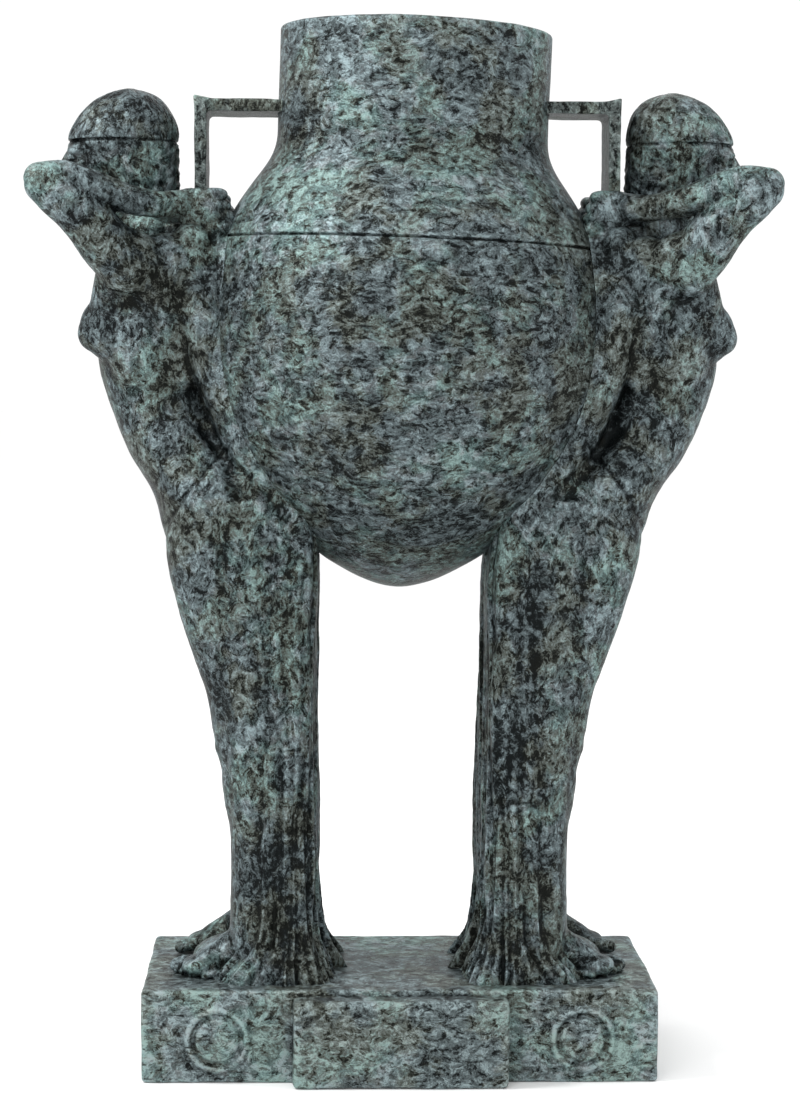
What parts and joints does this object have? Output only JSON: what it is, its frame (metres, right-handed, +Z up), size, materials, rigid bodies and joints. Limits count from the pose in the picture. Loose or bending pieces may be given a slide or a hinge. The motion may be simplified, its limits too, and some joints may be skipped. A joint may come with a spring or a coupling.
{
  "type": "figured bronze garden urn",
  "caption": "Verdigris bronze urn with strap handles, held up between draped standing figures that face outwards, on a block plinth with roundels.",
  "frame": {"origin": "on the ground, at the middle of the box around the whole piece", "axes": "+Z up, +X towards the right-hand figure as the front is seen, -Y towards the viewer"},
  "size_m": [0.7316, 0.4, 1.028],
  "materials": {
    "plinth_bronze": "cast bronze with a mottled verdigris patina, teal and grey-mauve dabs over dark brown-green, olive on the level faces",
    "urn_bronze": "cast bronze with a mottled verdigris patina in slanting and level dabs, soft satin sheen",
    "handle_bronze": "flat bronze strap, darker patina with green edges",
    "figure_bronze": "cast bronze with a mottled verdigris patina, darker in folds and creases, soft satin sheen"
  },
  "bodies": {
    "root": {"plinth": "plinth_bronze", "urn": "urn_bronze", "left_handle": "handle_bronze", "right_handle": "handle_bronze", "left_figure": "figure_bronze", "right_figure": "figure_bronze"}
  },
  "joints": []
}
